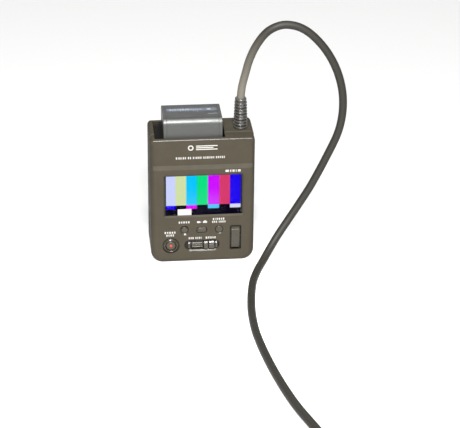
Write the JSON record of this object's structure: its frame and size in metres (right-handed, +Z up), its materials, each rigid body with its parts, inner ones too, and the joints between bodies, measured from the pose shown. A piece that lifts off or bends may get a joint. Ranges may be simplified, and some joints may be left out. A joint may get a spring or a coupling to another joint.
{
  "type": "video recorder control unit",
  "caption": "Handheld video recorder and control unit with a display, buttons, dial and zoom rocker, a battery in its top bay, side doors and a camera lead ending in a locking connector.",
  "frame": {"origin": "under the middle of the unit's box without its lead, on the surface it stands on", "axes": "+X to the right as the front is seen, +Y from the front face to the back, +Z up the unit"},
  "size_m": [0.1787, 0.4145, 0.1927],
  "materials": {
    "case_plastic": "fine matte grain, dark grey-brown",
    "dark_plastic": "satin black",
    "button_plastic": "satin dark grey",
    "battery_plastic": "satin blue-grey",
    "screen_glass": "clear and glossy",
    "screen": "lit liquid crystal panel",
    "white_plastic": "diffusing white",
    "circuit_board": "green solder mask",
    "steel": "satin",
    "brass": "turned",
    "cell_wrap": "blue film over a cell",
    "rubber": "matt black",
    "cord_jacket": "soft dark grey"
  },
  "bodies": {
    "case": {"front_cover": "case_plastic", "rear_cover": "case_plastic", "battery_bay": "dark_plastic", "battery_terminal": "dark_plastic", "chassis_plate": "steel", "lcd_window": "screen_glass", "lcd_panel": "screen", "lcd_backlight": "white_plastic", "lcd_frame": "steel", "main_board": "circuit_board", "shield_can": "steel", "switch_board": "circuit_board", "start_stop_ring": "case_plastic", "control_bezel": "dark_plastic", "dial_holder": "dark_plastic", "zoom_rocker_pin": "steel", "jack_block": "dark_plastic", "jack_cover_pin": "steel", "card_door_pin": "steel", "card_slot": "steel", "speaker": "dark_plastic", "tripod_socket": "brass", "rear_screw_1": "steel", "rear_screw_2": "steel", "rear_screw_3": "steel", "rear_screw_4": "steel", "strain_relief": "rubber", "cable_gland": "steel", "cable": "cord_jacket", "cable_coil": "cord_jacket", "cable_tail": "cord_jacket", "cable_tie": "rubber", "connector_boot": "rubber", "connector_shell": "steel", "connector_insert": "dark_plastic"},
    "start_stop_button": {"start_stop_button": "button_plastic"},
    "photo_button": {"photo_button": "button_plastic"},
    "mode_button": {"mode_button": "button_plastic"},
    "display_button": {"display_button": "button_plastic"},
    "manual_button": {"manual_button": "button_plastic"},
    "control_dial": {"control_dial": "button_plastic"},
    "zoom_rocker": {"zoom_rocker": "button_plastic"},
    "battery": {"battery_case": "battery_plastic", "battery_base": "dark_plastic", "battery_cell_1": "cell_wrap", "battery_cell_2": "cell_wrap", "battery_cell_3": "cell_wrap", "battery_cell_4": "cell_wrap"},
    "battery_release": {"battery_release": "button_plastic"},
    "jack_cover": {"jack_cover": "case_plastic"},
    "card_door": {"card_door": "case_plastic"},
    "memory_card": {"memory_card": "dark_plastic"},
    "power_switch": {"power_switch": "button_plastic"},
    "connector_ring": {"connector_ring": "steel"}
  },
  "joints": [
    {"name": "start_stop_press", "type": "slide", "parent": "case", "child": "start_stop_button", "axis": [0, 1, 0], "range_m": [0, 0.0006], "stiffness_N_per_m": 1500, "springref_m": -0.0002},
    {"name": "photo_press", "type": "slide", "parent": "case", "child": "photo_button", "axis": [0, 1, 0], "range_m": [0, 0.0006], "stiffness_N_per_m": 1500, "springref_m": -0.0002},
    {"name": "mode_press", "type": "slide", "parent": "case", "child": "mode_button", "axis": [0, 1, 0], "range_m": [0, 0.0006], "stiffness_N_per_m": 1500, "springref_m": -0.0002},
    {"name": "display_press", "type": "slide", "parent": "case", "child": "display_button", "axis": [0, 1, 0], "range_m": [0, 0.0006], "stiffness_N_per_m": 1500, "springref_m": -0.0002},
    {"name": "manual_press", "type": "slide", "parent": "case", "child": "manual_button", "axis": [0, 1, 0], "range_m": [0, 0.0005], "stiffness_N_per_m": 1500, "springref_m": -0.0002},
    {"name": "control_dial_turn", "type": "hinge", "parent": "case", "child": "control_dial", "pos_m": [-0.00425, -0.01735, 0.0152], "axis": [1, 0, 0], "continuous": true},
    {"name": "zoom_rock", "type": "hinge", "parent": "case", "child": "zoom_rocker", "pos_m": [0.0256, -0.01655, 0.0208], "axis": [1, 0, 0], "range_deg": [-4, 4], "stiffness_Nm_per_rad": 0.15},
    {"name": "battery_slide", "type": "slide", "parent": "case", "child": "battery", "axis": [-1, 0, 0], "range_m": [0, 0.006]},
    {"name": "battery_release_slide", "type": "slide", "parent": "case", "child": "battery_release", "axis": [-1, 0, 0], "range_m": [0, 0.0025], "stiffness_N_per_m": 600, "springref_m": -0.0005},
    {"name": "jack_cover_hinge", "type": "hinge", "parent": "case", "child": "jack_cover", "pos_m": [-0.0393, 0.0144, 0.064], "axis": [0, 0, -1], "range_deg": [0, 100]},
    {"name": "card_door_hinge", "type": "hinge", "parent": "case", "child": "card_door", "pos_m": [-0.0393, 0.00695, 0.01355], "axis": [0, -1, 0], "range_deg": [0, 100]},
    {"name": "memory_card_push", "type": "slide", "parent": "case", "child": "memory_card", "axis": [1, 0, 0], "range_m": [0, 0.0008], "stiffness_N_per_m": 800, "springref_m": -0.0002},
    {"name": "power_switch_slide", "type": "slide", "parent": "case", "child": "power_switch", "axis": [0, 0, 1], "range_m": [0, 0.006]},
    {"name": "connector_ring_turn", "type": "hinge", "parent": "case", "child": "connector_ring", "pos_m": [-0.0601, -0.3846, 0.0091], "axis": [-1, 0, 0], "range_deg": [0, 60]}
  ]
}
